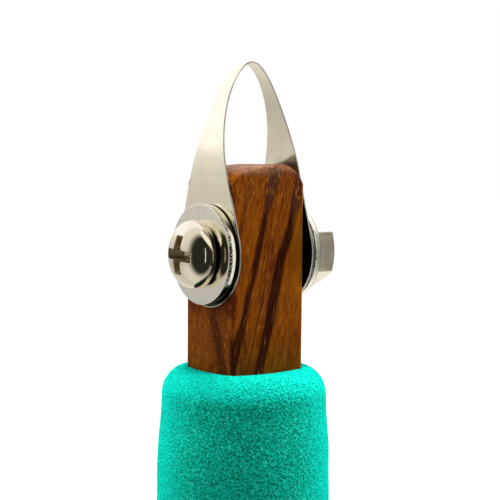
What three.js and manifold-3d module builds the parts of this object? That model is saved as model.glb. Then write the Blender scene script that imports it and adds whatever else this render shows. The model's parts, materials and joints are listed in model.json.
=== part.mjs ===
// A fine point tool for trimming clay: a narrow loop of steel strip, bolted by its two round tabs
// to the sides of a wooden stick that carries a foam grip.
// Millimetres. +Z runs up the stick, -Y is the front and the screw lies along X with its head at -X.
// The origin is the centre of the stick's butt end.

import * as THREE from 'three';
import { mergeVertices } from 'three/addons/utils/BufferGeometryUtils.js';
import Module from 'manifold-3d';

const wasm = await Module();
wasm.setup();

// Stick
const STICK_WIDTH = 12.6; // along X, between the two tabs
const STICK_DEPTH = 11.3; // along Y, front to back
const STICK_ABOVE_BOLT = 12.8;
const STICK_SHOULDER = 2.9; // rounding of the top at the left and right
const STICK_BROW = 1.1; // rounding of the top at the front and back
const STICK_ARRIS = 0.3; // rounding of the long edges and of the butt

// Foam sleeve
const GRIP_LENGTH = 127;
const GRIP_DIAMETER = 25.4;
const GRIP_END_NARROWING = 1.2; // the ends are this much smaller in diameter
const GRIP_NARROWING_LENGTH = 10;
const GRIP_ROUND_DROP = 4.1; // rounded end, measured along the sleeve
const GRIP_ROUND_INSET = 3.2; // rounded end, measured across the sleeve
const GRIP_TO_STICK = 0.3;
const BOLT_ABOVE_GRIP = 16.7;

// Blade strip
const STRIP_THICKNESS = 0.25;
const TAB_RADIUS = 7.6;
const NECK_ANGLE = 17.4; // degrees above the bolt where the tab's round edge ends
const NECK_REACH = 13.1; // how far the strip's edge keeps the direction it has there
const TIP_REACH = 10.2; // how far the edge keeps its direction at the point
const TIP_WIDTH = 2.3;
const LEG_STRAIGHT = 8.7; // flat length of each leg above the bolt
const LEG_BOW = 0.94; // sideways pull of the bowed leg
const LEG_REACH = 7.7; // upward pull of the bowed leg
const POINT_REACH = 3.42; // sideways pull of the rounded point
const LOOP_ABOVE_STICK = 14.6;
const LOOP_LEAN = 0.25; // how far the point stands towards the nut's side

// Screw and nut
const SCREW_DIAMETER = 4.83;
const THREAD_PITCH = 1.058;
const THREAD_DEPTH = 0.65;
const THREAD_CREST = 0.13; // width of the flat along the top of the thread
const THREAD_ROOT_FLAT = 0.13; // width of the flat between two turns
const THREAD_SINK = 0.02; // how far the thread's foot reaches into the core below it
const THREAD_RUNOUT = 0.7; // bare neck below the head
const THREAD_CLEARANCE = 0.12; // between the screw's thread and the nut's
const THREAD_CORE_SHARE = 1.5; // clearances between the screw's core and the nut's thread
const SCREW_BEYOND_NUT = 1.3;
const SCREW_TIP_CHAMFER = 0.7;
const HEAD_DIAMETER = 9.7;
const HEAD_HEIGHT = 4.1;
const HEAD_SIDE = 1; // straight part of the head's side
const RECESS_SPAN = 5.6;
const RECESS_WIDTH = 1.7;
const RECESS_DEPTH = 2.4;
const RECESS_TAPER = 0.55; // size of the recess at its bottom, against its size at the face
const RECESS_TURN = 4.4; // degrees that the screw's cross stands turned
const NUT_FLATS = 10.2;
const NUT_HEIGHT = 4.4;
const NUT_CHAMFER_ANGLE = 30;
const NUT_FACE_INSET = 0.15; // how far the nut's round face lies inside its flats

// Washers
const WASHER_DIAMETER = 14.3;
const WASHER_THICKNESS = 1.45;
const WASHER_EDGE = 0.06; // rounding of the rim where the stamping left its burr
const WASHER_ROLL_DROP = 0.2; // rounding of the other edge, measured along the screw
const WASHER_ROLL_INSET = 0.35; // the same, measured across
const WASHER_BORE_CLEARANCE = 0.3;
const LOCK_DIAMETER = 9.7;
const LOCK_THICKNESS = 0.45;
const LOCK_BAND = 1.2; // width of the solid ring outside the teeth
const LOCK_TEETH = 8;
const LOCK_TOOTH_SHARE = 0.6; // share of each tooth's pitch that the tooth's tip fills
const LOCK_BORE_CLEARANCE = 0.15;

// Fits
const SEAT_GAP = 0.02; // between two faces that the screw pulls together
const STICK_BORE_CLEARANCE = 0.15;
const TAB_BORE_CLEARANCE = 0.2;

// How finely curves are faceted
const ROUND_SEGMENTS = 48;
const THREAD_SEGMENTS = 12;
const BORE_SEGMENTS = 32;
const CORNER_SEGMENTS = 6;
const LOOP_SEGMENTS = 20;
const SWELL_SEGMENTS = 3;
const MARGIN = 1; // by which a cutting tool runs past what it cuts

// Heights along the stick
const BOLT_Z = GRIP_LENGTH + BOLT_ABOVE_GRIP;
const STICK_LENGTH = BOLT_Z + STICK_ABOVE_BOLT;
const LOOP_HEIGHT = STICK_ABOVE_BOLT + LOOP_ABOVE_STICK;

// Places along the screw, from the stick outwards. A lock washer stands under the nut's washer only.
const TAB_MIDDLE = STICK_WIDTH / 2 + SEAT_GAP + STRIP_THICKNESS / 2;
const TAB_SEAT = TAB_MIDDLE + STRIP_THICKNESS / 2 + SEAT_GAP;
const HEAD_SEAT = TAB_SEAT + WASHER_THICKNESS + SEAT_GAP;
const NUT_WASHER_INNER = TAB_SEAT + LOCK_THICKNESS + SEAT_GAP;
const NUT_SEAT = NUT_WASHER_INNER + WASHER_THICKNESS + SEAT_GAP;
const NUT_OUTER = NUT_SEAT + NUT_HEIGHT;
const SCREW_END = NUT_OUTER + SCREW_BEYOND_NUT;
const SCREW_RADIUS = SCREW_DIAMETER / 2;

// Solids from closed geometry, and back
function solid(geometry) {
  const bare = geometry.index ? geometry.toNonIndexed() : geometry.clone();
  for (const name of ['normal', 'uv']) {
    if (bare.getAttribute(name)) bare.deleteAttribute(name);
  }
  const merged = mergeVertices(bare);
  return new wasm.Manifold(new wasm.Mesh({
    numProp: 3,
    vertProperties: new Float32Array(merged.getAttribute('position').array),
    triVerts: new Uint32Array(merged.index.array),
  }));
}

function surface(manifold) {
  const mesh = manifold.getMesh();
  const geometry = new THREE.BufferGeometry();
  geometry.setAttribute('position', new THREE.BufferAttribute(mesh.vertProperties, 3));
  geometry.setIndex(new THREE.BufferAttribute(mesh.triVerts, 1));
  geometry.computeVertexNormals();
  return geometry;
}

// A closed body through a row of convex sections with equally many corners, listed anticlockwise
// as seen from the far end
function loft(sections) {
  const corners = sections[0].length;
  const positions = sections.flat(2);
  const index = [];
  for (let row = 0; row + 1 < sections.length; row += 1) {
    for (let corner = 0; corner < corners; corner += 1) {
      const here = row * corners + corner;
      const next = row * corners + (corner + 1) % corners;
      index.push(here, next, here + corners, next, next + corners, here + corners);
    }
  }
  const last = (sections.length - 1) * corners;
  for (let corner = 1; corner + 1 < corners; corner += 1) {
    index.push(0, corner + 1, corner);
    index.push(last, last + corner, last + corner + 1);
  }
  const geometry = new THREE.BufferGeometry();
  geometry.setAttribute('position', new THREE.Float32BufferAttribute(positions, 3));
  geometry.setIndex(index);
  return geometry;
}

// A turned body about X, from pairs of place along X and radius
function turned(profile, segments) {
  const points = profile.map(([along, radius]) => new THREE.Vector2(radius, along));
  return new THREE.LatheGeometry(points, segments).rotateZ(-Math.PI / 2);
}

function rod(from, to, radius, segments) {
  return turned([[from, 0], [from, radius], [to, radius], [to, 0]], segments);
}

// Points of a quarter ellipse from the first axis to the second
function quarter(steps, place) {
  const points = [];
  for (let step = 0; step <= steps; step += 1) {
    const angle = (step / steps) * (Math.PI / 2);
    points.push(place(Math.cos(angle), Math.sin(angle)));
  }
  return points;
}

// An upright outline centred on x, with its own roundings at the foot and at the top
function roundedOutline(width, low, high, footRadius, topRadius) {
  const side = width / 2;
  const shape = new THREE.Shape();
  shape.moveTo(-side + footRadius, low);
  shape.lineTo(side - footRadius, low);
  shape.absarc(side - footRadius, low + footRadius, footRadius, -Math.PI / 2, 0, false);
  shape.lineTo(side, high - topRadius);
  shape.absarc(side - topRadius, high - topRadius, topRadius, 0, Math.PI / 2, false);
  shape.lineTo(-side + topRadius, high);
  shape.absarc(-side + topRadius, high - topRadius, topRadius, Math.PI / 2, Math.PI, false);
  shape.lineTo(-side, low + footRadius);
  shape.absarc(-side + footRadius, low + footRadius, footRadius, Math.PI, 1.5 * Math.PI, false);
  return shape;
}

function extruded(shape, depth) {
  const options = { depth, bevelEnabled: false, curveSegments: CORNER_SEGMENTS };
  return new THREE.ExtrudeGeometry(shape, options);
}

// Stick: its plan, front and side outlines cut to their common body, and drilled for the screw
function stickPlan(growth) {
  const width = STICK_WIDTH + 2 * growth;
  const depth = STICK_DEPTH + 2 * growth;
  const arris = STICK_ARRIS + growth;
  return roundedOutline(width, -depth / 2, depth / 2, arris, arris);
}

function handleStick() {
  const plan = extruded(stickPlan(0), STICK_LENGTH);
  const frontOutline = roundedOutline(STICK_WIDTH, 0, STICK_LENGTH, STICK_ARRIS, STICK_SHOULDER);
  const front = extruded(frontOutline, STICK_DEPTH);
  front.rotateX(Math.PI / 2).translate(0, STICK_DEPTH / 2, 0);
  const sideOutline = roundedOutline(STICK_DEPTH, 0, STICK_LENGTH, STICK_ARRIS, STICK_BROW);
  const side = extruded(sideOutline, STICK_WIDTH);
  side.rotateX(Math.PI / 2).rotateZ(Math.PI / 2).translate(-STICK_WIDTH / 2, 0, 0);
  const reach = STICK_WIDTH / 2 + MARGIN;
  const bore = rod(-reach, reach, SCREW_RADIUS + STICK_BORE_CLEARANCE, BORE_SEGMENTS);
  bore.translate(0, 0, BOLT_Z);
  return surface(solid(plan).intersect(solid(front)).intersect(solid(side)).subtract(solid(bore)));
}

// Foam sleeve: a turned body, a little narrower near its ends, with round ends and the stick's bore
function gripEnd() {
  const radius = GRIP_DIAMETER / 2;
  const endRadius = radius - GRIP_END_NARROWING / 2;
  const flat = endRadius - GRIP_ROUND_INSET;
  const round = quarter(CORNER_SEGMENTS, (across, along) => [
    flat + GRIP_ROUND_INSET * along,
    GRIP_ROUND_DROP * (1 - across),
  ]);
  const swell = [];
  for (let step = 1; step <= SWELL_SEGMENTS; step += 1) {
    const part = step / SWELL_SEGMENTS;
    const swollen = THREE.MathUtils.smoothstep(part, 0, 1);
    swell.push([
      THREE.MathUtils.lerp(endRadius, radius, swollen),
      GRIP_ROUND_DROP + GRIP_NARROWING_LENGTH * part,
    ]);
  }
  return [...round, ...swell];
}

function foamGrip() {
  const foot = gripEnd();
  const top = gripEnd().reverse().map(([radius, inset]) => [radius, GRIP_LENGTH - inset]);
  const profile = [[0, 0], ...foot, ...top, [0, GRIP_LENGTH]];
  const points = profile.map(([radius, height]) => new THREE.Vector2(radius, height));
  const sleeve = new THREE.LatheGeometry(points, ROUND_SEGMENTS).rotateX(Math.PI / 2);
  const bore = extruded(stickPlan(GRIP_TO_STICK), GRIP_LENGTH + 2 * MARGIN).translate(0, 0, -MARGIN);
  return surface(solid(sleeve).subtract(solid(bore)));
}

// Blade: the middle line of one leg, from the bolt to the point, and the strip's half width along it
const bow = new THREE.CubicBezierCurve(
  new THREE.Vector2(TAB_MIDDLE, LEG_STRAIGHT),
  new THREE.Vector2(TAB_MIDDLE + LEG_BOW, LEG_STRAIGHT + LEG_REACH),
  new THREE.Vector2(POINT_REACH, LOOP_HEIGHT),
  new THREE.Vector2(0, LOOP_HEIGHT),
);
const LEG_LENGTH = LEG_STRAIGHT + bow.getLength();

function legAt(length) {
  if (length <= LEG_STRAIGHT) return { at: [TAB_MIDDLE, length], along: [0, 1] };
  const share = (length - LEG_STRAIGHT) / (LEG_LENGTH - LEG_STRAIGHT);
  const place = bow.getPointAt(Math.min(share, 1));
  const course = bow.getTangentAt(Math.min(share, 1));
  return { at: [place.x, place.y], along: [course.x, course.y] };
}

function legOutline() {
  const neck = THREE.MathUtils.degToRad(NECK_ANGLE);
  const step = (2 * Math.PI) / ROUND_SEGMENTS;
  const outline = [];
  for (let angle = step / 2 - Math.PI / 2; angle < neck - step / 2; angle += step) {
    outline.push([TAB_RADIUS * Math.sin(angle), TAB_RADIUS * Math.cos(angle)]);
  }
  const start = new THREE.Vector2(Math.sin(neck), Math.cos(neck)).multiplyScalar(TAB_RADIUS);
  const course = new THREE.Vector2(1, -Math.tan(neck)).multiplyScalar(NECK_REACH);
  const edge = new THREE.CubicBezierCurve(
    start,
    start.clone().add(course),
    new THREE.Vector2(LEG_LENGTH - TIP_REACH, TIP_WIDTH / 2),
    new THREE.Vector2(LEG_LENGTH, TIP_WIDTH / 2),
  );
  for (const point of edge.getPoints(LOOP_SEGMENTS)) outline.push([point.x, point.y]);
  return outline;
}

function stripSection([length, halfWidth], side) {
  const { at, along } = legAt(length);
  const out = STRIP_THICKNESS / 2;
  const risen = (at[1] - LEG_STRAIGHT) / (LOOP_HEIGHT - LEG_STRAIGHT);
  const lean = LOOP_LEAN * Math.max(risen, 0);
  const corner = (face, edge) => [
    lean + side * (at[0] + face * out * along[1]),
    edge * halfWidth,
    at[1] - face * out * along[0],
  ];
  return [corner(1, -1), corner(-1, -1), corner(-1, 1), corner(1, 1)];
}

function bladeLoop() {
  const outline = legOutline();
  const up = outline.map((point) => stripSection(point, -1));
  const down = outline.slice(0, -1).reverse().map((point) => stripSection(point, 1));
  const strip = loft([...up, ...down]);
  const reach = TAB_MIDDLE + STRIP_THICKNESS + MARGIN;
  const bore = rod(-reach, reach, SCREW_RADIUS + TAB_BORE_CLEARANCE, BORE_SEGMENTS);
  return surface(solid(strip).subtract(solid(bore)));
}

// Right-hand thread: one ridge wound round X, and the same ridge grown by a clearance for the nut.
// The ridge's foot lies just inside the flats of the faceted core that it stands on.
function threadRidge(from, to, growth) {
  const slope = (THREAD_PITCH - THREAD_CREST - THREAD_ROOT_FLAT) / (2 * THREAD_DEPTH);
  const crestRadius = SCREW_RADIUS + growth;
  const coreRadius = SCREW_RADIUS - THREAD_DEPTH + THREAD_CORE_SHARE * growth;
  const footRadius = coreRadius * Math.cos(Math.PI / THREAD_SEGMENTS) - THREAD_SINK;
  const halfCrest = THREAD_CREST / 2 + growth * (Math.sqrt(1 + slope * slope) - slope);
  const halfFoot = halfCrest + slope * (crestRadius - footRadius);
  const profile = [
    [footRadius, halfFoot], [crestRadius, halfCrest],
    [crestRadius, -halfCrest], [footRadius, -halfFoot],
  ];
  const sections = [];
  const first = Math.ceil((from / THREAD_PITCH) * THREAD_SEGMENTS);
  const last = Math.floor((to / THREAD_PITCH) * THREAD_SEGMENTS);
  for (let step = first; step <= last; step += 1) {
    const turn = (step / THREAD_SEGMENTS) * 2 * Math.PI;
    const middle = (step / THREAD_SEGMENTS) * THREAD_PITCH;
    sections.push(profile.map(([radius, across]) => [
      middle + across,
      radius * Math.cos(turn),
      radius * Math.sin(turn),
    ]));
  }
  return { ridge: loft(sections), coreRadius };
}

// Screw: threaded shank, pan head and tapered cross recess
function recessBar(turn) {
  const bar = (depth, size) => {
    const span = (RECESS_SPAN / 2) * size;
    const width = (RECESS_WIDTH / 2) * size;
    const place = -HEAD_SEAT - HEAD_HEIGHT + depth;
    return [[place, -span, -width], [place, span, -width], [place, span, width], [place, -span, width]];
  };
  const mouth = 1 + ((1 - RECESS_TAPER) * MARGIN) / RECESS_DEPTH;
  return loft([bar(-MARGIN, mouth), bar(RECESS_DEPTH, RECESS_TAPER)]).rotateX(turn);
}

function machineScrew() {
  const seat = -HEAD_SEAT;
  const crown = quarter(2 * CORNER_SEGMENTS, (across, along) => [
    seat - HEAD_SIDE - (HEAD_HEIGHT - HEAD_SIDE) * along,
    (HEAD_DIAMETER / 2) * across,
  ]).reverse();
  const head = turned([...crown, [seat, HEAD_DIAMETER / 2], [seat, 0]], ROUND_SEGMENTS);
  const { ridge, coreRadius } = threadRidge(seat + THREAD_RUNOUT, SCREW_END + THREAD_PITCH, 0);
  const core = rod(seat - MARGIN, SCREW_END, coreRadius, THREAD_SEGMENTS);
  const clear = SCREW_RADIUS + MARGIN;
  const envelope = turned([
    [seat - MARGIN, 0], [seat - MARGIN, clear], [SCREW_END - SCREW_TIP_CHAMFER - MARGIN, clear],
    [SCREW_END, SCREW_RADIUS - SCREW_TIP_CHAMFER], [SCREW_END, 0],
  ], ROUND_SEGMENTS / 2);
  const shank = solid(core).add(solid(ridge)).intersect(solid(envelope));
  const turn = THREE.MathUtils.degToRad(RECESS_TURN);
  const recess = solid(recessBar(turn)).add(solid(recessBar(turn + Math.PI / 2)));
  return surface(solid(head).subtract(recess).add(shank));
}

// Nut: a hexagon with corners up and down, both ends chamfered, cut with the grown thread
function hexNut() {
  const cornerRadius = NUT_FLATS / Math.sqrt(3);
  const faceRadius = NUT_FLATS / 2 - NUT_FACE_INSET;
  const chamfer = (cornerRadius - faceRadius) * Math.tan(THREE.MathUtils.degToRad(NUT_CHAMFER_ANGLE));
  const hexagon = rod(NUT_SEAT, NUT_OUTER, cornerRadius, 6);
  const envelope = turned([
    [NUT_SEAT, 0], [NUT_SEAT, faceRadius], [NUT_SEAT + chamfer, cornerRadius],
    [NUT_OUTER - chamfer, cornerRadius], [NUT_OUTER, faceRadius], [NUT_OUTER, 0],
  ], ROUND_SEGMENTS);
  const from = NUT_SEAT - THREAD_PITCH;
  const to = NUT_OUTER + THREAD_PITCH;
  const { ridge, coreRadius } = threadRidge(from, to, THREAD_CLEARANCE);
  const tap = solid(rod(from, to, coreRadius, THREAD_SEGMENTS)).add(solid(ridge));
  return surface(solid(hexagon).intersect(solid(envelope)).subtract(tap));
}

// Flat washer: its burred face at x = 0, and its rolled edge away from it
function flatWasher() {
  const bore = SCREW_RADIUS + WASHER_BORE_CLEARANCE;
  const rim = WASHER_DIAMETER / 2;
  return turned([
    [0, bore], [0, rim - WASHER_EDGE], [WASHER_EDGE, rim], [WASHER_THICKNESS - WASHER_ROLL_DROP, rim],
    [WASHER_THICKNESS, rim - WASHER_ROLL_INSET], [WASHER_THICKNESS, bore], [0, bore],
  ], ROUND_SEGMENTS);
}

// Lock washer: a thin ring with teeth that point in to the screw, its inner face at x = 0
function lockWasher() {
  const rim = new THREE.Shape().absarc(0, 0, LOCK_DIAMETER / 2, 0, 2 * Math.PI, false);
  const valley = LOCK_DIAMETER / 2 - LOCK_BAND;
  const tip = SCREW_RADIUS + LOCK_BORE_CLEARANCE;
  const pitch = (2 * Math.PI) / LOCK_TEETH;
  const teeth = [];
  for (let tooth = 0; tooth < LOCK_TEETH; tooth += 1) {
    const start = tooth * pitch;
    const end = start + pitch * LOCK_TOOTH_SHARE;
    const middle = (end + start + pitch) / 2;
    teeth.push([start, tip], [(start + end) / 2, tip], [end, tip]);
    teeth.push([end, valley], [middle, valley], [start + pitch, valley]);
  }
  const points = teeth.map(([angle, radius]) => (
    new THREE.Vector2(radius * Math.cos(angle), radius * Math.sin(angle))
  ));
  rim.holes.push(new THREE.Path(points));
  const options = { depth: LOCK_THICKNESS, bevelEnabled: false, curveSegments: ROUND_SEGMENTS / 2 };
  return new THREE.ExtrudeGeometry(rim, options).rotateY(Math.PI / 2);
}

// Finishes
const wood = () => new THREE.MeshStandardMaterial({ color: 0x6e3a16, roughness: 0.5, metalness: 0 });
const foam = () => new THREE.MeshStandardMaterial({ color: 0x12c9a8, roughness: 0.95, metalness: 0 });
const springSteel = () => (
  new THREE.MeshStandardMaterial({ color: 0xcdc8bb, roughness: 0.22, metalness: 1 })
);
const nickelPlate = () => (
  new THREE.MeshStandardMaterial({ color: 0xd3d0c8, roughness: 0.18, metalness: 1 })
);

function piece(name, geometry, material) {
  const mesh = new THREE.Mesh(geometry, material);
  mesh.name = name;
  return mesh;
}

// Assembly: the stick and sleeve from the butt up, and the clamp about the screw's axis
const tool = new THREE.Group();
tool.add(piece('handle_stick', handleStick(), wood()));
tool.add(piece('foam_grip', foamGrip(), foam()));

const clamp = new THREE.Group();
clamp.position.z = BOLT_Z;
clamp.add(piece('blade_loop', bladeLoop(), springSteel()));
clamp.add(piece('machine_screw', machineScrew(), nickelPlate()));
clamp.add(piece('hex_nut', hexNut(), nickelPlate()));
const headWasher = piece('flat_washer_head_side', flatWasher(), nickelPlate());
headWasher.position.x = -TAB_SEAT - WASHER_THICKNESS;
const nutWasher = piece('flat_washer_nut_side', flatWasher(), nickelPlate());
nutWasher.position.x = NUT_WASHER_INNER;
const toothed = piece('lock_washer', lockWasher(), nickelPlate());
toothed.position.x = TAB_SEAT;
clamp.add(headWasher, nutWasher, toothed);
tool.add(clamp);

export default tool;
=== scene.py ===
"""A fine point tool for trimming clay: a loop of steel strip bolted to an oiled stick with a foam grip.
Metres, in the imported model's frame: +Z up the stick, -Y the front, the screw along X, its head at -X."""

import json
import math

import bmesh
import bpy
import numpy as np
from mathutils import Matrix, Vector, noise


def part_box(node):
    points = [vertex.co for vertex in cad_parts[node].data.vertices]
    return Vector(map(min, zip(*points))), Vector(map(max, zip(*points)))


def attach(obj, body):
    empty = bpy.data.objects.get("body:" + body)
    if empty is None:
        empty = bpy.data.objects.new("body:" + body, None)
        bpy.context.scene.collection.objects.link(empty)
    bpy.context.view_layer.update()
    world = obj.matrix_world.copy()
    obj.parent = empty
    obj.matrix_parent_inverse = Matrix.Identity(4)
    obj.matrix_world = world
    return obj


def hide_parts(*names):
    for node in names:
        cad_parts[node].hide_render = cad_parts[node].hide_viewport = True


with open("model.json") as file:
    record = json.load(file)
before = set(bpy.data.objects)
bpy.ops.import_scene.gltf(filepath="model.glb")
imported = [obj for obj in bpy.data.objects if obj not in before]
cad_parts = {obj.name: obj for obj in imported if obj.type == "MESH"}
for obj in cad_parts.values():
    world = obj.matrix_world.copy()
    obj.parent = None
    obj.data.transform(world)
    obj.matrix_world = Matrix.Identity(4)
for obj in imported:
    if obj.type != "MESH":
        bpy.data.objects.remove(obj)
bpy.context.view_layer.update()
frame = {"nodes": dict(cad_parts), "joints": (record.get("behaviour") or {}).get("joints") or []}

MM = 0.001
NEARLY_NONE = 1e-6
CLAMP_GAP = 0.02 * MM  # between faces that the screw clamps together

# Where the pieces stand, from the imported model
joints = {joint["name"]: joint for joint in frame["joints"]}
BOLT = Vector(joints["blade_tilt"]["pos_m"])
STICK_LOW, STICK_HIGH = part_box("handle_stick")
SLEEVE_LOW, SLEEVE_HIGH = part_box("foam_grip")
LOOP_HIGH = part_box("blade_loop")[1]
SCREW_LOW, SCREW_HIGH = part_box("machine_screw")
NUT_LOW, NUT_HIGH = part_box("hex_nut")
HEAD_WASHER_LOW, HEAD_WASHER_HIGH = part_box("flat_washer_head_side")
NUT_WASHER_LOW, NUT_WASHER_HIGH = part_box("flat_washer_nut_side")

# Stick
STICK_HALF_WIDTH = STICK_HIGH.x
STICK_HALF_DEPTH = STICK_HIGH.y
STICK_SHOULDER = 2.9 * MM
STICK_BROW = 1.1 * MM
STICK_ARRIS = 0.3 * MM
STICK_TOP_ARRIS = 1.0 * MM
STICK_TOP_WEAR = 0.7 * MM
STICK_SHOULDER_WEAR = (0.15 * MM, 0.42 * MM)  # at the left and at the right
STICK_WEAR_END = 2 * MM  # how far to the right the top is worn down
STICK_UNEVENNESS = 0.05 * MM
ARRIS_STEPS = 8
STICK_ROW = 1.2 * MM
STICK_COLUMN = 0.45 * MM

# Foam sleeve
SLEEVE_RADIUS = SLEEVE_HIGH.x
SLEEVE_END_RADIUS = SLEEVE_RADIUS - 0.6 * MM
SLEEVE_NARROWING = 10 * MM
SLEEVE_ROUND_DROP = 4.1 * MM
SLEEVE_ROUND_INSET = 3.2 * MM
SLEEVE_LIP_DROP = 0.75 * MM
SLEEVE_LIP_WIDTH = 0.8 * MM
SLEEVE_GRIP_GAP = 0.03 * MM
SLEEVE_LUMPS = 0.16 * MM
SLEEVE_STEP = 0.5 * MM

# Blade strip
STRIP_THICKNESS = 0.25 * MM
STRIP_BURR = 0.03 * MM
TAB_RADIUS = 7.6 * MM
NECK_ANGLE = math.radians(17.4)
NECK_REACH = 13.1 * MM
TIP_REACH = 10.2 * MM
TIP_WIDTH = 2.3 * MM
LEG_STRAIGHT = 8.7 * MM
LEG_BOW = 0.94 * MM
LEG_REACH = 7.7 * MM
POINT_REACH = 3.42 * MM
LOOP_LEAN = 0.25 * MM
BEND_LENGTH = 2.4 * MM
TAB_MIDDLE = STICK_HALF_WIDTH + CLAMP_GAP + STRIP_THICKNESS / 2
STRIP_STEP = 0.2 * MM
OUTLINE_POINTS = 8

# Screw
SCREW_RADIUS = 4.83 / 2 * MM
THREAD_PITCH = 1.058 * MM
THREAD_DEPTH = 0.65 * MM
THREAD_CREST = 0.13 * MM
HEAD_RADIUS = 4.85 * MM
HEAD_SIDE = 1.0 * MM
HEAD_TUCK = 0.3 * MM
HEAD_EDGE = 0.06 * MM
RECESS_HALF_SPAN = 2.8 * MM
RECESS_HALF_WIDTH = 0.78 * MM
RECESS_FILLET = 0.9 * MM
RECESS_CORNER = 0.4 * MM
RECESS_DEPTH = 2.4 * MM
RECESS_TAPER = 0.55
RECESS_LIP = 0.07 * MM
RECESS_BOTTOM_FALL = 0.3 * MM
RECESS_RINGS = 10  # rows of faces from its bottom to its mouth
RECESS_TURN = math.radians(4.4)
TIP_CHAMFER = 0.7 * MM

# Nut and washers
NUT_FLATS = 10.2 * MM
NUT_CHAMFER = math.radians(30)
NUT_FACE_INSET = 0.15 * MM
NUT_EDGE = 0.07 * MM
NUT_BORE = SCREW_RADIUS + 0.12 * MM
NUT_MOUTH = 0.3 * MM
WASHER_RADIUS = HEAD_WASHER_HIGH.y
WASHER_BORE = SCREW_RADIUS + 0.3 * MM
WASHER_BURR_EDGE = 0.05 * MM
WASHER_ROLL_DROP = 0.4 * MM
WASHER_ROLL_INSET = 0.22 * MM
WASHER_DRAFT_LENGTH = 0.55 * MM
WASHER_DRAFT = 0.015 * MM
WASHER_TORN_SHARE = 0.3
WASHER_TEAR = 0.03 * MM
WASHER_MOUTH = 0.08 * MM
TEAR_START = 0.16 * MM
TEAR_LENGTH = 0.16 * MM
TEARS_AROUND = 28
HOLE_CLEARANCE = 0.15 * MM
TAB_HOLE_CLEARANCE = 0.2 * MM
DRILL_REACH = 20 * MM
FINE_TURNS = 480  # points round a turned piece
FAR_OUT = 9 * MM


# Mesh making

def turns_of(count):
    """Angles of equal steps once round"""
    return np.linspace(0, 2 * math.pi, count, endpoint=False)


def quarter(count):
    """Angles of a quarter turn, with both its ends"""
    return np.linspace(0, math.pi / 2, count)


def close_rings(rings):
    """Faces of a closed skin over rows of rings that have equally many points, with a fan at each end"""
    rows, count = rings.shape[:2]
    points = rings.reshape(-1, 3).tolist()
    faces = []
    for row in range(rows - 1):
        here = row * count
        for column in range(count):
            right = (column + 1) % count
            faces.append((here + column, here + right, here + count + right, here + count + column))
    for row, order in ((0, -1), (rows - 1, 1)):
        middle = len(points)
        points.append(rings[row].mean(axis=0).tolist())
        for column in range(count):
            edge = (row * count + column, row * count + (column + 1) % count)
            faces.append((*edge[::order], middle))
    return points, faces


def wrap_rings(rings):
    """Faces of a closed ring-shaped skin, whose last row meets its first"""
    rows, count = rings.shape[:2]
    faces = []
    for row in range(rows):
        here, beyond = row * count, (row + 1) % rows * count
        for column in range(count):
            right = (column + 1) % count
            faces.append((here + column, here + right, beyond + right, beyond + column))
    return rings.reshape(-1, 3).tolist(), faces


def face_outwards(mesh):
    """Turns all faces of a closed mesh outwards"""
    work = bmesh.new()
    work.from_mesh(mesh)
    bmesh.ops.recalc_face_normals(work, faces=work.faces)
    work.to_mesh(mesh)
    work.free()


def bare_mesh(name, points, faces, material):
    mesh = bpy.data.meshes.new(name)
    mesh.from_pydata(points, [], faces)
    mesh.materials.append(material)
    return mesh


def smooth(mesh, crease):
    mesh.shade_smooth()
    mesh.set_sharp_from_angle(angle=math.radians(crease))


def stand(name, data):
    """A new object in the scene"""
    thing = bpy.data.objects.new(name, data)
    bpy.context.scene.collection.objects.link(thing)
    return thing


def skin(name, shape, material, crease=30):
    """A smooth object from points and faces, facing outwards, with sharp edges past the crease angle"""
    mesh = bare_mesh(name, *shape, material)
    face_outwards(mesh)
    smooth(mesh, crease)
    return stand(name, mesh)


def settle(piece, crease=30):
    """Turns what the modifiers show into the piece's own mesh"""
    shown = piece.evaluated_get(bpy.context.evaluated_depsgraph_get())
    mesh = bpy.data.meshes.new_from_object(shown)
    piece.modifiers.clear()
    piece.data = mesh
    smooth(mesh, crease)
    return piece


def drill(piece, radius, crease=30):
    """Bores a piece right through along the screw's axis"""
    turns = turns_of(96)
    rings = turned([(-DRILL_REACH, radius), (DRILL_REACH, radius)], turns)
    drill_bit = skin("drill_bit", close_rings(rings), piece.data.materials[0])
    bore = piece.modifiers.new("bore", "BOOLEAN")
    bore.operation = "DIFFERENCE"
    bore.solver = "EXACT"
    bore.object = drill_bit
    settle(piece, crease)
    bpy.data.objects.remove(drill_bit)
    return piece


def about_screw(along, radius, turns):
    """A ring about the screw's axis: its place along X and its radius may differ from point to point"""
    return np.stack([
        np.broadcast_to(along, turns.shape),
        BOLT.y + radius * np.cos(turns),
        BOLT.z + radius * np.sin(turns),
    ], axis=-1)


def turned(section, turns):
    """Rings about the screw's axis, from pairs of a place along X and a radius"""
    return np.array([about_screw(along, radius, turns) for along, radius in section])


def soft_least(first, second, softness):
    """The smaller of two values, rounded over where they are about equal"""
    share = np.clip(0.5 + 0.5 * (second - first) / softness, 0, 1)
    return second + (first - second) * share - softness * share * (1 - share)


def soft_most(first, second, softness):
    """The larger of two values, rounded over where they are about equal"""
    return -soft_least(-first, -second, softness)


def bezier(corners, count=2001):
    """Points along a curve with four corners"""
    share = np.linspace(0, 1, count)[:, None]
    first, second, third, fourth = (np.array(corner, float) for corner in corners)
    rest = 1 - share
    return (rest**3 * first + 3 * rest**2 * share * second
            + 3 * rest * share**2 * third + share**3 * fourth)


# Stick

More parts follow.
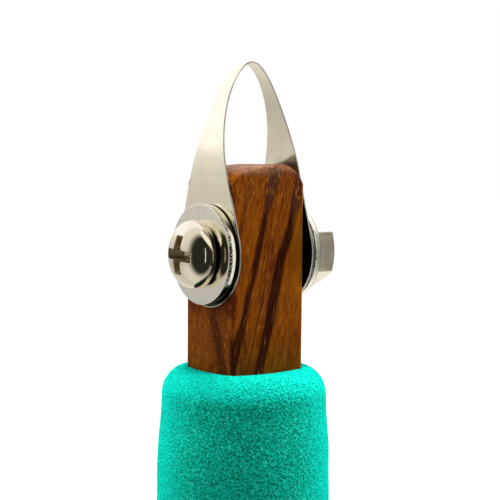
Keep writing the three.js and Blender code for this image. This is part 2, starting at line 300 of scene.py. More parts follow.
def stick_outline(half_width, half_depth, rounding):
    """Points round the stick in plan, the same number whatever its size there"""
    outline = []
    corners = ((1, -1), (1, 1), (-1, 1), (-1, -1))
    lengths = [2 * STICK_HALF_DEPTH, 2 * STICK_HALF_WIDTH] * 2
    arcs = []
    for number, (right, back) in enumerate(corners):
        middle = np.array(((half_width - rounding) * right, (half_depth - rounding) * back))
        angles = np.radians(-90 + 90 * number) + quarter(ARRIS_STEPS + 1)
        arcs.append(middle + rounding * np.stack([np.cos(angles), np.sin(angles)], axis=-1))
    for number, arc in enumerate(arcs):
        outline.extend(arc)
        beyond = arcs[(number + 1) % 4][0]
        steps = round(lengths[number] / STICK_COLUMN)
        for step in range(1, steps):
            outline.append(arc[-1] + (beyond - arc[-1]) * step / steps)
    return np.array(outline)


def stick_rows():
    """Heights of the stick's rows, with its half width, half depth and arris at each"""
    low, high = STICK_LOW.z, STICK_HIGH.z
    rows = []
    for angle in quarter(7):
        inset = STICK_ARRIS * (1 - math.sin(angle))
        size = (STICK_HALF_WIDTH - inset, STICK_HALF_DEPTH - inset)
        rows.append((low + STICK_ARRIS * (1 - math.cos(angle)), *size, STICK_ARRIS))
    plain = np.arange(low + STICK_ARRIS + STICK_ROW, high - STICK_SHOULDER - STICK_ROW / 2, STICK_ROW)
    rows += [(height, STICK_HALF_WIDTH, STICK_HALF_DEPTH, STICK_ARRIS) for height in plain]
    for angle in quarter(25):
        height = high - STICK_SHOULDER * (1 - math.sin(angle))
        width = STICK_HALF_WIDTH - STICK_SHOULDER * (1 - math.cos(angle))
        rise = max(0.0, height - (high - STICK_BROW))
        depth = STICK_HALF_DEPTH - STICK_BROW + math.sqrt(max(0.0, STICK_BROW**2 - rise**2))
        share = math.sin(angle)
        rows.append((height, width, depth, STICK_ARRIS + (STICK_TOP_ARRIS - STICK_ARRIS) * share**3))
    return rows


def make_stick(material):
    """The stick, with its top worn lower at the left and its shoulders worn rounder"""
    rings = []
    for height, half_width, half_depth, rounding in stick_rows():
        plan = stick_outline(half_width, half_depth, rounding)
        rings.append(np.column_stack([plan, np.full(len(plan), height)]))
    first, last = rings[0], rings[-1]
    rings = [first * (share, share, 1) for share in (0.2, 0.5, 0.8)] + rings
    rings += [last * (share, share, 1) for share in (0.85, 0.65, 0.4, 0.15)]
    rings = np.array(rings)
    for row in rings:
        for point in row:
            risen = max(0.0, (point[2] - (STICK_HIGH.z - STICK_SHOULDER)) / STICK_SHOULDER)
            worn = STICK_SHOULDER_WEAR[point[0] > 0] * 2 * risen * math.sqrt(max(0.0, 1 - risen**2))
            worn *= (point[0] / STICK_HALF_WIDTH) ** 2
            leftward = max(0.0, (STICK_WEAR_END - point[0]) / (STICK_WEAR_END + STICK_HALF_WIDTH))
            point[2] -= STICK_TOP_WEAR * risen * leftward + worn
            point[0] -= math.copysign(worn, point[0])
            wave = noise.noise(Vector(point) / (7 * MM)) + 0.5 * noise.noise(Vector(point) / (2.3 * MM))
            point[:2] *= 1 + STICK_UNEVENNESS * min(wave, 0) / STICK_HALF_DEPTH
    piece = skin("stick", close_rings(rings), material, 40)
    return drill(piece, SCREW_RADIUS + HOLE_CLEARANCE, 40)


# Foam sleeve

def sleeve_section():
    """The sleeve's outer line from the lip at its foot to the lip at its top: radius and height"""
    points = []
    flat = SLEEVE_END_RADIUS - SLEEVE_ROUND_INSET
    for angle in quarter(16):
        points.append((flat + SLEEVE_ROUND_INSET * math.sin(angle),
                       SLEEVE_ROUND_DROP * (1 - math.cos(angle))))
    for share in np.linspace(0, 1, 25)[1:]:
        swell = share * share * (3 - 2 * share)
        points.append((SLEEVE_END_RADIUS + (SLEEVE_RADIUS - SLEEVE_END_RADIUS) * swell,
                       SLEEVE_ROUND_DROP + SLEEVE_NARROWING * share))
    foot = [(radius, SLEEVE_LOW.z + inset) for radius, inset in points]
    head = [(radius, SLEEVE_HIGH.z - inset) for radius, inset in reversed(points)]
    plain = np.arange(foot[-1][1] + SLEEVE_STEP, head[0][1] - SLEEVE_STEP / 2, SLEEVE_STEP)
    return foot + [(SLEEVE_RADIUS, height) for height in plain] + head


def sleeve_hug(turns, growth):
    """Distance of the stick's surface from its axis in each direction, grown by a little"""
    half_width, half_depth = STICK_HALF_WIDTH + growth, STICK_HALF_DEPTH + growth
    flat = np.minimum(half_width / np.maximum(np.abs(np.cos(turns)), NEARLY_NONE),
                      half_depth / np.maximum(np.abs(np.sin(turns)), NEARLY_NONE))
    corner = math.hypot(half_width, half_depth) - 0.35 * STICK_ARRIS
    return soft_least(flat, np.full_like(flat, corner), 0.12 * MM)


def make_sleeve(material):
    """The sleeve: its outside, the lips that hug the stick, the bore, and soft lumps all over"""
    count = round(2 * math.pi * SLEEVE_RADIUS / SLEEVE_STEP)
    turns = turns_of(count)
    hug = sleeve_hug(turns, SLEEVE_GRIP_GAP)
    section = sleeve_section()
    crest = section[0][0]
    rings = []

    def ring(radius, height):
        rings.append(np.stack([radius * np.cos(turns), radius * np.sin(turns),
                               np.broadcast_to(height, turns.shape)], axis=-1))

    def lip(base, inward):
        """The rounded lip between the outer round and the stick, at one end"""
        rows = []
        for share in np.linspace(0, 1, 9)[1:]:
            reach = np.sin(share * math.pi / 2)
            radius = crest + (hug - crest) * reach
            close = np.clip((crest - hug) / SLEEVE_LIP_WIDTH, 0.35, 1)
            drop = SLEEVE_LIP_DROP * close * (1 - np.cos(share * math.pi / 2)) ** 1.5
            rows.append((radius, base + inward * drop))
        return rows

    for radius, height in section:
        ring(radius, height)
    for radius, height in lip(SLEEVE_HIGH.z, -1):
        ring(radius, height)
    bore_top, bore_foot = SLEEVE_HIGH.z - SLEEVE_LIP_DROP, SLEEVE_LOW.z + SLEEVE_LIP_DROP
    for height in np.linspace(bore_top - MM, bore_foot + MM, 40):
        ring(hug, height)
    for radius, height in reversed(lip(SLEEVE_LOW.z, 1)):
        ring(radius, height)
    rings = np.array(rings)
    outer = len(section)
    for row, points in enumerate(rings):
        for turn, point in zip(turns, points):
            radius = math.hypot(point[0], point[1])
            spare = radius - (STICK_HALF_DEPTH + 0.8 * MM)
            if row >= outer and spare < 0.3 * MM:
                continue
            place = Vector(point)
            wave = (noise.noise(place / (9 * MM)) + 0.6 * noise.noise(place / (3.1 * MM))
                    + 0.35 * noise.noise(place / (1.2 * MM)))
            point[:2] *= 1 + SLEEVE_LUMPS * (wave - 0.9) / 2 / radius
    return skin("foam_sleeve", wrap_rings(rings), material, 60)


# Blade loop

def leg_course():
    """The middle line of one leg: length along it, place across and up, and its direction"""
    top = LOOP_HIGH.z - BOLT.z - STRIP_THICKNESS / 2
    bow = bezier([(TAB_MIDDLE, LEG_STRAIGHT), (TAB_MIDDLE + LEG_BOW, LEG_STRAIGHT + LEG_REACH),
                  (POINT_REACH, top), (0, top)])
    straight = np.linspace(-TAB_RADIUS, LEG_STRAIGHT, 400)[:-1]
    line = np.vstack([np.column_stack([np.full_like(straight, TAB_MIDDLE), straight]), bow])
    lengths = np.concatenate([[0], np.cumsum(np.hypot(*np.diff(line, axis=0).T))]) - TAB_RADIUS
    shifts = np.linspace(-BEND_LENGTH, BEND_LENGTH, 61)
    eased = np.mean([np.interp(lengths + shift, lengths, line[:, 0]) for shift in shifts], axis=0)
    share = np.clip((LEG_STRAIGHT + 2 * BEND_LENGTH - lengths) / BEND_LENGTH, 0, 1)
    line[:, 0] += (eased - line[:, 0]) * share
    return lengths, line


def strip_edge(leg_length):
    """Half width of the strip along a leg, from the tab's round foot to the point"""
    angles = np.radians(np.arange(-89, math.degrees(NECK_ANGLE) - 0.5, 1.5))
    tab = np.column_stack([TAB_RADIUS * np.sin(angles), TAB_RADIUS * np.cos(angles)])
    start = TAB_RADIUS * np.array((math.sin(NECK_ANGLE), math.cos(NECK_ANGLE)))
    edge = bezier([start, start + NECK_REACH * np.array((1, -math.tan(NECK_ANGLE))),
                   (leg_length - TIP_REACH, TIP_WIDTH / 2), (leg_length, TIP_WIDTH / 2)])
    lengths = np.linspace(start[0], leg_length, round((leg_length - start[0]) / STRIP_STEP))
    return np.vstack([tab, np.column_stack([lengths, np.interp(lengths, edge[:, 0], edge[:, 1])])])


def make_blade(material, edge_material):
    """The loop from one round tab over the point to the other, with burred edges of their own material"""
    lengths, line = leg_course()
    edge = strip_edge(lengths[-1])
    across = np.interp(edge[:, 0], lengths, line[:, 0])
    up = np.interp(edge[:, 0], lengths, line[:, 1])
    slope = np.gradient(line, lengths, axis=0)
    course = np.column_stack([np.interp(edge[:, 0], lengths, slope[:, 0]),
                              np.interp(edge[:, 0], lengths, slope[:, 1])])
    course /= np.linalg.norm(course, axis=1)[:, None]
    course[edge[:, 0] < LEG_STRAIGHT - BEND_LENGTH] = (0, 1)
    course[-1] = (-1, 0)
    risen = np.clip((up - LEG_STRAIGHT) / (up[-1] - LEG_STRAIGHT), 0, 1)
    half = STRIP_THICKNESS / 2
    sections = []
    for side in (-1, 1):
        order = range(len(edge)) if side < 0 else range(len(edge) - 2, -1, -1)
        for number in order:
            wide = edge[number, 1]
            burr = min(STRIP_BURR, wide / 2)
            outline = [(half, -wide + burr), (half - burr, -wide), (burr - half, -wide),
                       (-half, -wide + burr), (-half, wide - burr), (burr - half, wide),
                       (half - burr, wide), (half, wide - burr)]
            sections.append([
                (LOOP_LEAN * risen[number] + side * (across[number] + out * course[number, 1]),
                 BOLT.y + wide_at, BOLT.z + up[number] - out * course[number, 0])
                for out, wide_at in outline
            ])
    piece = skin("loop_blade", close_rings(np.array(sections)), material, 25)
    piece.data.materials.append(edge_material)
    for number in range((len(sections) - 1) * OUTLINE_POINTS):
        if number % OUTLINE_POINTS in (1, 5):
            piece.data.polygons[number].material_index = 1
    return drill(piece, SCREW_RADIUS + TAB_HOLE_CLEARANCE, 25)


# Nodes

class Reading:
    """What a node gives over a surface or a curve, which can be reckoned with like a number"""

    def __init__(self, socket):
        self.socket, self.tree = socket, socket.id_data

    def __add__(self, other):
        return reckon("ADD", self, other)

    def __radd__(self, other):
        return reckon("ADD", other, self)

    def __sub__(self, other):
        return reckon("SUBTRACT", self, other)

    def __rsub__(self, other):
        return reckon("SUBTRACT", other, self)

    def __mul__(self, other):
        return reckon("MULTIPLY", self, other)

    def __truediv__(self, other):
        return reckon("DIVIDE", self, other)

    def __abs__(self):
        return reckon("ABSOLUTE", self)


def feed(node, inputs):
    """Puts readings or constants into a node's sockets"""
    for key, value in inputs.items():
        if isinstance(value, Reading):
            value.tree.links.new(value.socket, node.inputs[key])
        else:
            node.inputs[key].default_value = value
    return node


def put(tree, kind, inputs=None, **settings):
    """A new node: its settings by name, and what goes into its sockets"""
    node = tree.nodes.new(kind)
    for key, value in settings.items():
        setattr(node, key, value)
    return feed(node, inputs or {})


def give(tree, kind, output, inputs=None, **settings):
    """What one output of a new node gives"""
    return Reading(put(tree, kind, inputs, **settings).outputs[output])


def give_all(tree, kind, inputs=None, **settings):
    """What all outputs of a new node give, by their names"""
    return {socket.name: Reading(socket) for socket in put(tree, kind, inputs, **settings).outputs}


def reckon(operation, first, second=0.5, clamp=False):
    tree = (first if isinstance(first, Reading) else second).tree
    return give(tree, "ShaderNodeMath", 0, {0: first, 1: second}, operation=operation, use_clamp=clamp)


def most(first, second):
    return reckon("MAXIMUM", first, second)


def measure(operation, *values):
    """Reckoning with places and directions: a number where they are compared or measured"""
    output = "Value" if operation in ("DOT_PRODUCT", "LENGTH") else "Vector"
    return give(values[0].tree, "ShaderNodeVectorMath", output, dict(enumerate(values)), operation=operation)


def parts_of(place):
    """A place or direction as its X, Y and Z"""
    return tuple(give_all(place.tree, "ShaderNodeSeparateXYZ", {"Vector": place}).values())


def ease(value, start, end, low=0.0, high=1.0):
    """A value that goes smoothly from low to high as another goes from start to end"""
    return give(value.tree, "ShaderNodeMapRange", 0, {
        "Value": value, "From Min": start, "From Max": end, "To Min": low, "To Max": high,
    }, interpolation_type="SMOOTHSTEP")


def within(value, start, full, last, end):
    """1 from full to last, and smoothly down to 0 at start and end"""
    return ease(value, start, full) * ease(value, end, last)


def blend(share, first, second):
    """The first colour, or the second as far as the share goes"""
    return give(share.tree, "ShaderNodeMix", 2, {0: share, 6: first, 7: second}, data_type="RGBA")


def coat(colour, *coats):
    """A colour with others laid over it in turn, each as far as its share goes"""
    for share, tone in coats:
        colour = blend(share, colour, tone)
    return colour


def grey_stops(share, stops):
    """A grey that follows stops, each a share and how bright it is there"""
    node = put(share.tree, "ShaderNodeValToRGB", {"Fac": share})
    elements = node.color_ramp.elements
    while len(elements) > 1:
        elements.remove(elements[0])
    for number, (at, grey) in enumerate(stops):
        stop = elements[0] if number == 0 else elements.new(at)
        stop.position, stop.color = at, (grey, grey, grey, 1)
    return Reading(node.outputs[0])


def lay(place, location=(0, 0, 0), rotation=(0, 0, 0), scale=(1, 1, 1)):
    return give(place.tree, "ShaderNodeMapping", 0, {
        "Vector": place, "Location": location, "Rotation": rotation, "Scale": scale})


def mottle(place, scale, detail=2.0, roughness=0.5):
    return give(place.tree, "ShaderNodeTexNoise", "Fac", {
        "Vector": place, "Scale": scale, "Detail": detail, "Roughness": roughness})


def relief(height, strength, depth, **under):
    """The way the surface faces under bumps of a depth in millimetres"""
    return give(height.tree, "ShaderNodeBump", 0, {
        "Height": height, "Strength": strength, "Distance": depth * MM, **under})


# Screw, nut and washers

def recess_mouth(turns):
    """Distance from the screw's axis to the edge of the cross recess, in each direction"""
    arms = []
    for quarter in (0, math.pi / 2):
        aside = turns - RECESS_TURN - quarter
        end = RECESS_HALF_SPAN / np.maximum(np.abs(np.cos(aside)), NEARLY_NONE)
        side = RECESS_HALF_WIDTH / np.maximum(np.abs(np.sin(aside)), NEARLY_NONE)
        arms.append(soft_least(np.minimum(end, FAR_OUT), np.minimum(side, FAR_OUT), RECESS_CORNER))
    return soft_most(arms[0], arms[1], RECESS_FILLET)


def make_screw_head(material, recess_material):
    """The head from the bottom of its recess out over the dome, and the screw's core beyond it"""
    seat = HEAD_WASHER_LOW.x - CLAMP_GAP
    crown = seat - SCREW_LOW.x - HEAD_SIDE
    turns = turns_of(FINE_TURNS)
    mouth = recess_mouth(turns)

    def dome(radius):
        return seat - HEAD_SIDE - crown * np.sqrt(np.maximum(0.0, 1 - (radius / HEAD_RADIUS) ** 2))

    bottom = SCREW_LOW.x + RECESS_DEPTH
    section = [(bottom + RECESS_BOTTOM_FALL, np.full_like(turns, 0.02 * MM))]
    for share in (0.5, 0.9):
        section.append((bottom + RECESS_BOTTOM_FALL * (1 - share), mouth * RECESS_TAPER * share))
    rim = dome(mouth)
    for share in (0.03, 0.1, 0.3, 0.5, 0.7, 0.9, 0.97):
        radius = mouth * (RECESS_TAPER + (1 - RECESS_TAPER) * share) - RECESS_LIP * share**4
        section.append((bottom + (rim - bottom) * share, radius))
    for angle in quarter(5):
        reach = mouth - RECESS_LIP + 2 * RECESS_LIP * (1 - math.cos(angle))
        section.append((dome(reach) + RECESS_LIP * (1 - math.sin(angle)) ** 1.5, reach))
    start = RECESS_HALF_SPAN + 0.35 * MM
    for share in np.linspace(0, 1, 15)[1:]:
        reach = (mouth + RECESS_LIP) * (1 - share) + start * share
        section.append((dome(reach), reach))
    for angle in np.linspace(math.asin(start / HEAD_RADIUS), math.pi / 2, 36)[1:]:
        reach = HEAD_RADIUS * math.sin(angle)
        section.append((dome(reach), reach))
    for share in np.linspace(0, 1, 9)[1:]:
        section.append((seat - HEAD_EDGE - (HEAD_SIDE - HEAD_EDGE) * (1 - share),
                        HEAD_RADIUS - HEAD_TUCK * share**2))
    foot = HEAD_RADIUS - HEAD_TUCK
    for angle in quarter(5)[1:]:
        section.append((seat - HEAD_EDGE * (1 - math.sin(angle)), foot - HEAD_EDGE * (1 - math.cos(angle))))
    core = SCREW_RADIUS - THREAD_DEPTH
    section += [(seat, core + 0.2 * MM), (seat + 0.2 * MM, core)]
    tip = SCREW_HIGH.x
    section += [(along, core) for along in np.linspace(seat + MM, tip - TIP_CHAMFER / 2, 12)]
    section.append((tip, core - TIP_CHAMFER / 2))
    piece = skin("screw_body", close_rings(turned(section, turns)), material, 50)
    piece.data.materials.append(recess_material)
    for face in piece.data.polygons:
        off_axis = math.hypot(face.center.y - BOLT.y, face.center.z - BOLT.z)
        at_bottom = face.center.x < SCREW_LOW.x + RECESS_DEPTH + MM and off_axis < 0.1 * MM
        if face.index < RECESS_RINGS * len(turns) or at_bottom:
            face.material_index = 1
    return piece


def screw_winding():
    """Node tree of a thread: a ridge wound on a rod, that fades out at both of its ends"""
    tree = bpy.data.node_groups.new("screw_winding", "GeometryNodeTree")
    face = tree.interface
    face.new_socket("Geometry", in_out="OUTPUT", socket_type="NodeSocketGeometry")
    for name in ("Core Radius", "Pitch", "Depth", "Crest", "Length"):
        face.new_socket(name, in_out="INPUT", socket_type="NodeSocketFloat")
    face.new_socket("Material", in_out="INPUT", socket_type="NodeSocketMaterial")
    given = give_all(tree, "NodeGroupInput")
    core, pitch, depth, crest, length = (
        given[name] for name in ("Core Radius", "Pitch", "Depth", "Crest", "Length"))

    rope = give(tree, "GeometryNodeCurveSpiral", "Curve", {
        "Resolution": 64, "Rotations": length / pitch, "Start Radius": core, "End Radius": core,
        "Height": length})
    upright = give(tree, "GeometryNodeSetCurveNormal", "Curve", {"Curve": rope}, mode="Z_UP")
    along = give(tree, "GeometryNodeSplineParameter", "Length")
    whole = give(tree, "GeometryNodeSplineLength", "Length")
    turn = core * (2 * math.pi)
    fade = give(tree, "ShaderNodeClamp", 0, {
        "Value": reckon("MINIMUM", along / turn, (whole - along) / turn) + 0.02})
    thick = give(tree, "GeometryNodeSetCurveRadius", "Curve", {"Curve": upright, "Radius": fade})

    foot, sink, half_crest = (pitch - crest) * 0.5, depth * -0.05, crest * 0.5
    corners = ((sink, foot, 1), (depth, half_crest, 1), (depth, half_crest, -1), (sink, foot, -1))
    profile = put(tree, "GeometryNodeCurvePrimitiveQuadrilateral", mode="POINTS")
    for number, (high, wide, side) in enumerate(corners, 1):
        corner = give(tree, "ShaderNodeCombineXYZ", 0, {"X": high, "Y": wide * side})
        feed(profile, {f"Point {number}": corner})
    ridge = put(tree, "GeometryNodeCurveToMesh", {
        "Curve": thick, "Profile Curve": Reading(profile.outputs["Curve"]), "Fill Caps": True})
    if "Scale" in ridge.inputs:
        feed(ridge, {"Scale": fade})
    real = give(tree, "GeometryNodeRealizeInstances", "Geometry", {
        "Geometry": Reading(ridge.outputs["Mesh"])})
    dressed = give(tree, "GeometryNodeSetMaterial", "Geometry", {
        "Geometry": real, "Material": given["Material"]})
    put(tree, "NodeGroupOutput", {"Geometry": dressed})
    return tree


def make_screw_thread(material):
    """The screw's ridge, wound from just under the head to its tip"""
    start = HEAD_WASHER_LOW.x + 0.7 * MM
    sizes = {
        "Core Radius": SCREW_RADIUS - THREAD_DEPTH,
        "Pitch": THREAD_PITCH,
        "Depth": THREAD_DEPTH,
        "Crest": THREAD_CREST,
        "Length": SCREW_HIGH.x - start - THREAD_PITCH * 0.45,
        "Material": material,
    }
    piece = stand("screw_thread", bpy.data.meshes.new("screw_thread"))
    winding = piece.modifiers.new("winding", "NODES")
    winding.node_group = screw_winding()
    for socket in winding.node_group.interface.items_tree:
        if socket.in_out == "INPUT":
            winding[socket.identifier] = sizes[socket.name]
    settle(piece, 20)
    lie_down = Matrix.Translation((start, BOLT.y, BOLT.z)) @ Matrix.Rotation(math.pi / 2, 4, "Y")
    piece.data.transform(lie_down)
    face_outwards(piece.data)
    return piece


def make_nut(material):
    turns = turns_of(360)
    apothem = NUT_FLATS / 2
    flats = [apothem / np.maximum(np.cos(turns - math.radians(60 * number)), 1e-3) for number in range(6)]
    side = flats[0]
    for flat in flats[1:]:
        side = soft_least(side, flat, 2.4 * NUT_EDGE)
    face = apothem - NUT_FACE_INSET
    low, high = NUT_LOW.x, NUT_HIGH.x

    def chamfered(inset):
        """The six sides, cut by the chamfer's cone at a distance from the nut's face"""
        cone = face + inset / math.tan(NUT_CHAMFER)
        return soft_least(side, np.full_like(side, cone), 3 * NUT_EDGE)

    insets = np.concatenate([np.arange(0, 0.72, 0.04), np.linspace(0.8, 2.2, 6)]) * MM
    section = [(low + NUT_MOUTH, NUT_BORE), (low, NUT_BORE + NUT_MOUTH), (low, face - NUT_EDGE)]
    section += [(low + inset, chamfered(inset)) for inset in insets]
    section += [(high - inset, chamfered(inset)) for inset in insets[:-1][::-1]]
    section += [(high, face - NUT_EDGE), (high, NUT_BORE + NUT_MOUTH), (high - NUT_MOUTH, NUT_BORE)]
    return skin("nut", wrap_rings(turned(section, turns)), material, 35)


def make_washer(name, low, high, material):
    """A stamped washer: its rim is torn near the face towards the screw's head, and smooth beyond"""
    turns = turns_of(FINE_TURNS)
    inner, outer = WASHER_BORE + 0.5 * MM, WASHER_RADIUS
    section = [(low + WASHER_MOUTH, WASHER_BORE), (low, WASHER_BORE + WASHER_MOUTH)]
    section += [(low, radius) for radius in np.linspace(inner, outer - 0.3 * MM, 12)]
    for angle in quarter(5):
        section.append((low + WASHER_BURR_EDGE * (1 - math.cos(angle)),
                        outer - WASHER_BURR_EDGE * (1 - math.sin(angle))))
    torn = (high - low) * WASHER_TORN_SHARE
    smooth_start = high - low - WASHER_ROLL_DROP - WASHER_DRAFT_LENGTH
    for along in np.linspace(WASHER_BURR_EDGE + 0.03 * MM, smooth_start, 18):
        ragged = [noise.noise(Vector((along / TEAR_LENGTH, TEARS_AROUND * math.cos(turn),
                                      TEARS_AROUND * math.sin(turn)))) for turn in turns]
        depth = np.array([max(0.0, wave + 0.35) for wave in ragged])
        start = 1 / (1 + math.exp((TEAR_START - along) / (0.02 * MM)))
        fade = start / (1 + math.exp((along - torn) / (0.03 * MM)))
        section.append((low + along, outer - WASHER_TEAR * fade * (depth + 0.6)))
    for share in np.linspace(0, 1, 6)[1:]:
        section.append((low + smooth_start + WASHER_DRAFT_LENGTH * share, outer - WASHER_DRAFT * share))
    for angle in quarter(12)[1:]:
        section.append((high - WASHER_ROLL_DROP * (1 - math.sin(angle)),
                        outer - WASHER_DRAFT - WASHER_ROLL_INSET * (1 - math.cos(angle))))
    section += [(high, radius) for radius in np.linspace(outer - 0.5 * MM, inner, 12)]
    section += [(high, WASHER_BORE + WASHER_MOUTH), (high - WASHER_MOUTH, WASHER_BORE)]
    return skin(name, wrap_rings(turned(section, turns)), material, 40)


# Materials: places on a piece are in millimetres from the screw's axis

def empty_material(name):
    material = bpy.data.materials.new(name)
    material.use_nodes = True
    material.node_tree.nodes.clear()
    return material, material.node_tree


def new_finish(name):
    """A material with its shader, and the place on the piece"""
    material, tree = empty_material(name)
    shader = put(tree, "ShaderNodeBsdfPrincipled")
    put(tree, "ShaderNodeOutputMaterial", {"Surface": Reading(shader.outputs[0])})
    place = lay(give(tree, "ShaderNodeTexCoord", "Object"),
                location=tuple(-1000 * part for part in BOLT), scale=(1000, 1000, 1000))
    return material, shader, place


def from_screw(place):
    """Distance from the screw's axis"""
    return measure("LENGTH", lay(place, scale=(0, 1, 1)))


def in_mirrors(tree):
    """1 where the piece is seen in another's shine"""
    return give(tree, "ShaderNodeLightPath", "Is Glossy Ray")


# The wood's layers lean through the stick; these are their tones, by place across the layers
LAYER_LEAN = (1.0, 0.95, -0.254)
LAYER_REACH = 12
LAYER_TONES = ((-12, 0.8), (-9.5, 1.0), (-8.3, 1.0), (-6.9, 0.3), (-5.6, 0.5), (-3.7, 0.2), (-2.0, 0.8),
               (0.5, 1.0), (2.4, 0.6), (5.0, 0.8), (7.5, 0.25), (10.0, 0.9), (12, 0.6))
# Lesser dark layers: place, half width and strength
THIN_LAYERS = ((-4.95, 0.16, 0.6), (-9.6, 0.12, 0.18), (-0.6, 0.12, 0.22), (0.7, 0.1, 0.15),
               (3.1, 0.5, 0.22), (6.4, 0.7, 0.8), (10.3, 0.35, 0.6), (-11.3, 0.4, 0.5))
FIBRE_TURN = (0.06, -0.197, 0.0)
ORANGE_WOOD = (0.35, 0.086, 0.0025, 1)
BROWN_WOOD = (0.20, 0.044, 0.0030, 1)
DARK_WOOD = (0.026, 0.0036, 0.0024, 1)
DARK_END_GRAIN = (0.125, 0.045, 0.028, 1)


def oiled_wood():
    material, shader, place = new_finish("oiled_hardwood")
    across, deep, high = parts_of(place)
    fibres = lay(place, rotation=FIBRE_TURN)

    def grain(fineness, stretch, detail, roughness=0.5, start=(0, 0, 0)):
        """Mottling drawn out along the fibres"""
        return mottle(lay(fibres, start, scale=(fineness, fineness, stretch)), 1.0, detail, roughness)

    layers = measure("DOT_PRODUCT", place, LAYER_LEAN)
    layers = layers + (grain(0.25, 0.05, 2.0) - 0.5) * 0.5 + (grain(1.4, 0.2, 2.0) - 0.5) * 0.3
    ragged = grain(4.2, 0.4, 3.0, 0.6)
    strands = grain(2.6, 0.13, 3.0, 0.6)
    clouds = grain(0.45, 0.12, 3.0)

    def band(middle, half_width, softness):
        """A dark layer: full at its middle, with a ragged soft edge; place and half width may vary"""
        off = abs(layers - middle) + (ragged - 0.5) * 0.3
        return ease(half_width - off, -softness / 2, softness / 2)

    stops = [(middle / LAYER_REACH / 2 + 0.5, grey) for middle, grey in LAYER_TONES]
    light = grey_stops((layers + LAYER_REACH) / (2 * LAYER_REACH), stops)
    light = light + ease(strands, 0.32, 0.68, -0.5, 0.5)
    light = reckon("ADD", light, ease(clouds, 0.3, 0.7, -0.35, 0.25), clamp=True)

    end_grain = ease(high, 4.5, 11.0)
    foot = ease(high, -8.0, -12.0)
    first = band(ease(high, -9.5, -13.0, -7.47, -7.8),
                 ease(foot, 0.0, 1.0, 0.5, 0.85) + end_grain * 0.7, 0.6)
    second = band(ease(high, 4.5, -1.0, -2.3, -3.0) + ease(high, -6.5, -10.0, 0.0, 0.22),
                  ease(foot, 0.0, 1.0, 0.88, 0.8) + end_grain * 0.35, 0.55)
    on_side = band(ease(deep, 0.0, -4.0, -4.75, -5.6), 0.75, 0.9) * ease(deep, -5.2, -4.2, 0.0, 0.72)
    dark = most(most(first, second) * ease(deep, -5.35, -4.4, 1.0, 0.0), on_side)
    for middle, half_width, strength in THIN_LAYERS:
        dark = most(dark, band(middle, half_width, min(half_width, 0.35)) * strength)
    threads = grain(4.6, 0.22, 2.0, 0.6, (3, 8, 2))
    fullness = ease(threads, 0.35, 0.62, 0.86, 1.0) - end_grain * 0.12
    dark_tone = blend(end_grain * ease(strands, 0.35, 0.65, 0.55, 1.0), DARK_WOOD, DARK_END_GRAIN)

    red_patch = measure("LENGTH", lay(place, (9.7, 0, 3.0), scale=(1.6, 0, 0.45)))
    right_of_arris = ease(across, -6.1, -5.7)
    hairs = grain(5.0, 0.5, 3.0, 0.65, (2, 6, 9))
    pale_hairs = ease(hairs, 0.53, 0.66, 0.0, 0.62) * ease(dark, 0.0, 0.8, 1.0, 0.2)
    pale_layer = band(ease(high, 0.0, -8.0, -5.1, -4.35), 0.13, 0.2) * within(high, -9.5, -7.5, 5.5, 7.5)
    end_flecks = ease(grain(3.3, 1.0, 1.0, start=(1, 9, 4)), 0.57, 0.74) * (end_grain * 0.95)
    fine_flecks = ease(grain(3.4, 0.25, 1.0, start=(5, 2, 4)), 0.69, 0.76, 0.0, 0.55)
    pores = ease(grain(5.5, 0.42, 1.0, start=(7, 3, 1)), 0.68, 0.75)
    # painted highlight: the brow along the top is paler where it would catch the light from above; mottled,
    # and stronger to the left
    brow_highlight = ease(high, 10.8, 12.4) * ease(mottle(place, 1.9, 3.0, 0.65), 0.36, 0.64, 0.08, 0.85)
    brow_highlight = brow_highlight * ease(across, 3.0, -1.0, 0.35, 1.0)
    # painted light: paler towards the front's right edge, in place of the light that the tab's shadow takes
    # away
    painted_fill_light = ease(across, 3.8, 5.9) * ease(deep, -5.2, -4.6, 1.0, 0.0) * ease(abs(high - 0.3), 7.5, 3.0)
    # painted highlight along the front right arris
    arris = ease(across, 5.85, 6.15) * ease(deep, -5.3, -5.1, 1.0, 0.0)
    colour = coat(
        blend(light, BROWN_WOOD, ORANGE_WOOD),
        (dark * fullness, dark_tone),
        (ease(red_patch, 0.6, 1.3, 0.75, 0.0), (0.115, 0.011, 0.004, 1)),
        ((1.0 - right_of_arris) * 0.26, (0.055, 0.016, 0.002, 1)),
        (ease(hairs, 0.47, 0.34, 0.0, 0.65), (0.065, 0.012, 0.003, 1)),
        (pale_hairs, (0.52, 0.155, 0.016, 1)),
        # painted shade: the front face is darker towards the foam at its foot
        (ease(high, -8.5, -14.5, 0.0, 0.26) * right_of_arris, (0.045, 0.009, 0.002, 1)),
        (pale_layer * ease(ragged, 0.35, 0.6) * 0.6, (0.46, 0.14, 0.045, 1)),
        (most(end_flecks, fine_flecks), (0.56, 0.20, 0.03, 1)),
        (pores * 0.5, (0.05, 0.010, 0.003, 1)),
        # darker towards the top: the end grain's own darker tone, plus painted shade that offsets the lamp
        # above
        (ease(high, 10.9, 12.4, 0.0, 0.62), (0.10, 0.032, 0.012, 1)),
        (brow_highlight, (0.42, 0.25, 0.165, 1)),
        (painted_fill_light * 0.7, (0.80, 0.25, 0.012, 1)),
        (arris * 0.5, (0.75, 0.30, 0.06, 1)),
        # painted shade: the wood is much darker where the metal mirrors it
        (in_mirrors(place.tree) * 0.8, (0.02, 0.016, 0.010, 1)),
    )
    feed(shader, {"Base Color": colour, "Roughness": ease(strands, 0.3, 0.8, 0.42, 0.6),
                  "Specular IOR Level": 0.01, "Normal": relief(strands * 0.4 - pores * 0.6, 0.3, 0.03)})
    return material


